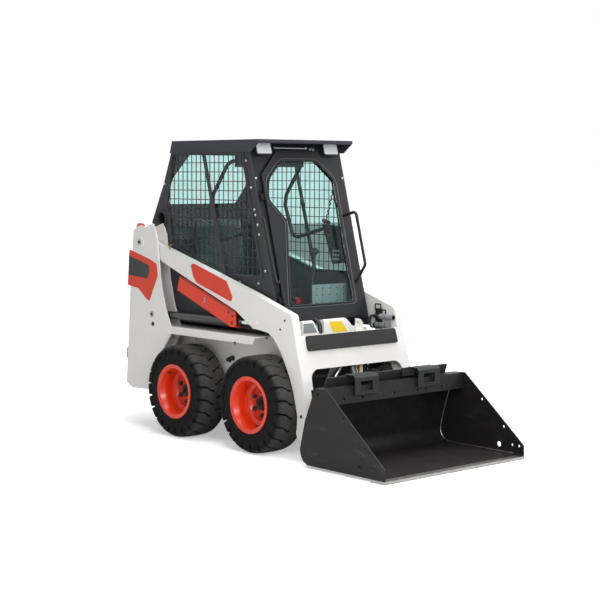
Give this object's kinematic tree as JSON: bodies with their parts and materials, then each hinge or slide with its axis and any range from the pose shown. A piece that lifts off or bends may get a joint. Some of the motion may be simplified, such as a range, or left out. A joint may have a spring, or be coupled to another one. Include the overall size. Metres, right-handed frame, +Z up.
{
  "type": "skid steer loader",
  "caption": "Compact skid steer loader with enclosed cab, lift arms, hydraulic cylinders and a dirt bucket on lugged tyres.",
  "frame": {"origin": "on the ground, under the middle of the machine's bounding box", "axes": "+Z up, the machine faces -Y, its right-hand side is at -X"},
  "size_m": [1.118, 2.508, 1.824],
  "materials": {
    "white_paint": "gloss",
    "charcoal_paint": "satin",
    "dark_steel": "satin",
    "orange_paint": "gloss",
    "worn_steel": "satin",
    "tyre_rubber": "matte",
    "glass": "polished",
    "lamp_lens": "gloss",
    "tail_lens": "gloss",
    "black_plastic": "matte",
    "hose_rubber": "satin",
    "seat_vinyl": "satin",
    "cylinder_paint": "gloss",
    "chrome": "polished"
  },
  "bodies": {
    "chassis": {"axle_hubs": "dark_steel", "main_frame": "dark_steel", "upright_r": "white_paint", "upright_l": "white_paint", "engine_block": "dark_steel", "cab_side_r": "charcoal_paint", "cab_side_l": "charcoal_paint", "side_guard_r": "charcoal_paint", "side_guard_l": "charcoal_paint", "side_glass": "glass", "cab_rear": "charcoal_paint", "rear_glass": "glass", "cab_front": "charcoal_paint", "cab_floor": "dark_steel", "roof": "charcoal_paint", "work_lamps": "lamp_lens", "seat": "seat_vinyl", "seat_bar": "charcoal_paint", "control_levers": "charcoal_paint", "foot_panel": "dark_steel", "instrument_panel": "black_plastic", "front_cover": "white_paint", "engine_cover": "white_paint", "tail_hinges": "dark_steel", "tail_lamps": "tail_lens"},
    "lift_arm": {"arm_r": "white_paint", "arm_l": "white_paint", "arm_crossmember": "white_paint", "step_pad": "black_plastic", "arm_support": "orange_paint", "aux_couplers": "charcoal_paint", "arm_hoses": "hose_rubber"},
    "lift_cylinder_r": {"lift_barrel_r": "cylinder_paint"},
    "lift_cylinder_l": {"lift_barrel_l": "cylinder_paint"},
    "lift_piston_r": {"lift_rod_r": "chrome"},
    "lift_piston_l": {"lift_rod_l": "chrome"},
    "tilt_cylinder": {"tilt_barrel": "cylinder_paint"},
    "tilt_piston": {"tilt_rod": "chrome"},
    "bucket": {"bucket_shell": "dark_steel", "cutting_edge": "worn_steel", "coupler": "dark_steel", "coupler_levers": "dark_steel"},
    "cab_door": {"door_frame": "charcoal_paint", "door_glass": "glass"},
    "tail_door": {"tailgate": "charcoal_paint"},
    "wheel_fr": {"tyre_fr": "tyre_rubber", "rim_fr": "orange_paint"},
    "wheel_fl": {"tyre_fl": "tyre_rubber", "rim_fl": "orange_paint"},
    "wheel_rr": {"tyre_rr": "tyre_rubber", "rim_rr": "orange_paint"},
    "wheel_rl": {"tyre_rl": "tyre_rubber", "rim_rl": "orange_paint"}
  },
  "joints": [
    {"name": "lift", "type": "hinge", "parent": "chassis", "child": "lift_arm", "pos_m": [0, 1.082, 1.187], "axis": [-1, 0, 0], "range_deg": [0, 74.5]},
    {"name": "tilt", "type": "hinge", "parent": "lift_arm", "child": "bucket", "pos_m": [0, -0.459, 0.154], "axis": [1, 0, 0], "range_deg": [-25.7, 109.5]},
    {"name": "lift_swing_r", "type": "hinge", "parent": "chassis", "child": "lift_cylinder_r", "pos_m": [-0.41, 0.956, 0.736], "axis": [-1, 0, 0], "range_deg": [0, 69]},
    {"name": "lift_stroke_r", "type": "slide", "parent": "lift_cylinder_r", "child": "lift_piston_r", "axis": [0, -0.9999, 0.0119], "range_m": [0, 0.5485]},
    {"name": "lift_swing_l", "type": "hinge", "parent": "chassis", "child": "lift_cylinder_l", "pos_m": [0.41, 0.956, 0.736], "axis": [-1, 0, 0], "range_deg": [0, 69]},
    {"name": "lift_stroke_l", "type": "slide", "parent": "lift_cylinder_l", "child": "lift_piston_l", "axis": [0, -0.9999, 0.0119], "range_m": [0, 0.5485]},
    {"name": "tilt_swing", "type": "hinge", "parent": "lift_arm", "child": "tilt_cylinder", "pos_m": [0, -0.33, 0.65], "axis": [1, 0, 0], "range_deg": [-1, 3]},
    {"name": "tilt_stroke", "type": "slide", "parent": "tilt_cylinder", "child": "tilt_piston", "axis": [0, -0.4488, -0.8936], "range_m": [-0.0445, 0.1875]},
    {"name": "door_swing", "type": "hinge", "parent": "chassis", "child": "cab_door", "pos_m": [-0.314, -0.19724, 0.75174], "axis": [0, -0.2611, -0.9653], "range_deg": [0, 100]},
    {"name": "tail_door_swing", "type": "hinge", "parent": "chassis", "child": "tail_door", "pos_m": [0.352, 1.25963, 0.2908], "axis": [0, 0.0799, -0.9968], "range_deg": [0, 100]},
    {"name": "wheel_spin_fr", "type": "hinge", "parent": "chassis", "child": "wheel_fr", "pos_m": [-0.433, -0.105, 0.286], "axis": [1, 0, 0], "continuous": true},
    {"name": "wheel_spin_fl", "type": "hinge", "parent": "chassis", "child": "wheel_fl", "pos_m": [0.433, -0.105, 0.286], "axis": [1, 0, 0], "continuous": true},
    {"name": "wheel_spin_rr", "type": "hinge", "parent": "chassis", "child": "wheel_rr", "pos_m": [-0.433, 0.617, 0.286], "axis": [1, 0, 0], "continuous": true},
    {"name": "wheel_spin_rl", "type": "hinge", "parent": "chassis", "child": "wheel_rl", "pos_m": [0.433, 0.617, 0.286], "axis": [1, 0, 0], "continuous": true}
  ],
  "couplings": [
    {"joint": "lift_swing_r", "follows": "lift", "ratio": 0.92},
    {"joint": "lift_stroke_r", "follows": "lift", "m_per_rad": 0.4211},
    {"joint": "lift_swing_l", "follows": "lift", "ratio": 0.92},
    {"joint": "lift_stroke_l", "follows": "lift", "m_per_rad": 0.4211},
    {"joint": "tilt_swing", "follows": "tilt", "ratio": 0.025},
    {"joint": "tilt_stroke", "follows": "tilt", "m_per_rad": 0.0974}
  ]
}
